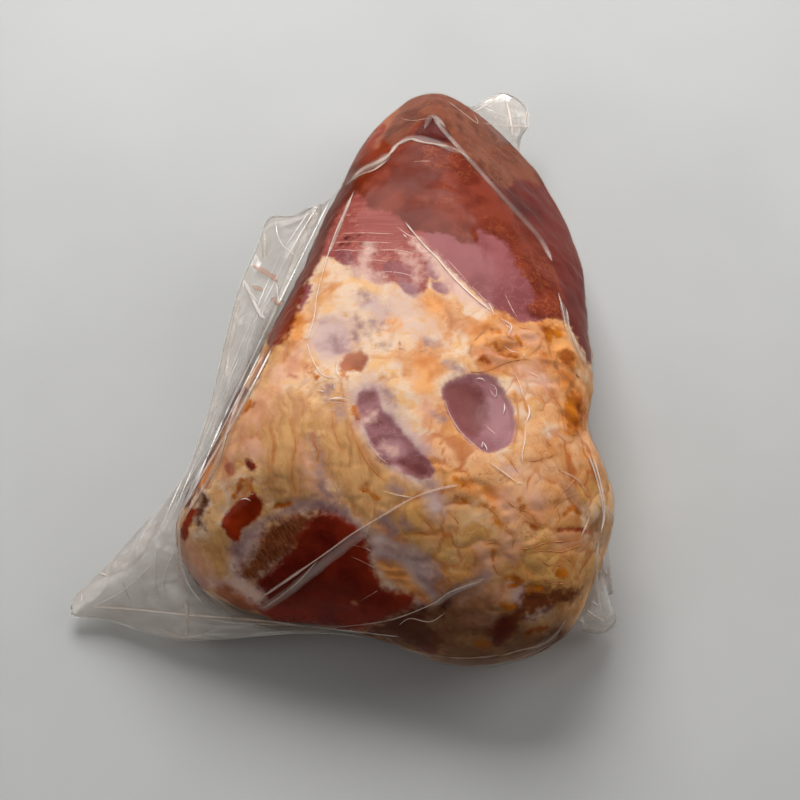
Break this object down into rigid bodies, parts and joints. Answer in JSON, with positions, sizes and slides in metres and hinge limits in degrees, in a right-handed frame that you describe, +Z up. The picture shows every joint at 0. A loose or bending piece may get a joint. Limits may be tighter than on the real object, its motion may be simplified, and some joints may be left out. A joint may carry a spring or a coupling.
{
  "type": "smoked pork shoulder",
  "caption": "Whole smoked pork shoulder lying fat side up in a tight clear vacuum bag, with flaps of loose film beside it.",
  "frame": {"origin": "middle of the flat that the joint rests on, on the surface under it", "axes": "+Z up through the fat side, +Y along the joint to its narrow end, +X to the right when the narrow end points away"},
  "size_m": [0.2646, 0.3234, 0.1034],
  "materials": {
    "smoked_meat": "smoked muscle and fat, wet and glossy under the film",
    "shrink_film": "clear gloss film, 0.1 mm thick"
  },
  "bodies": {
    "root": {"bagged_shoulder": "smoked_meat"}
  },
  "joints": []
}
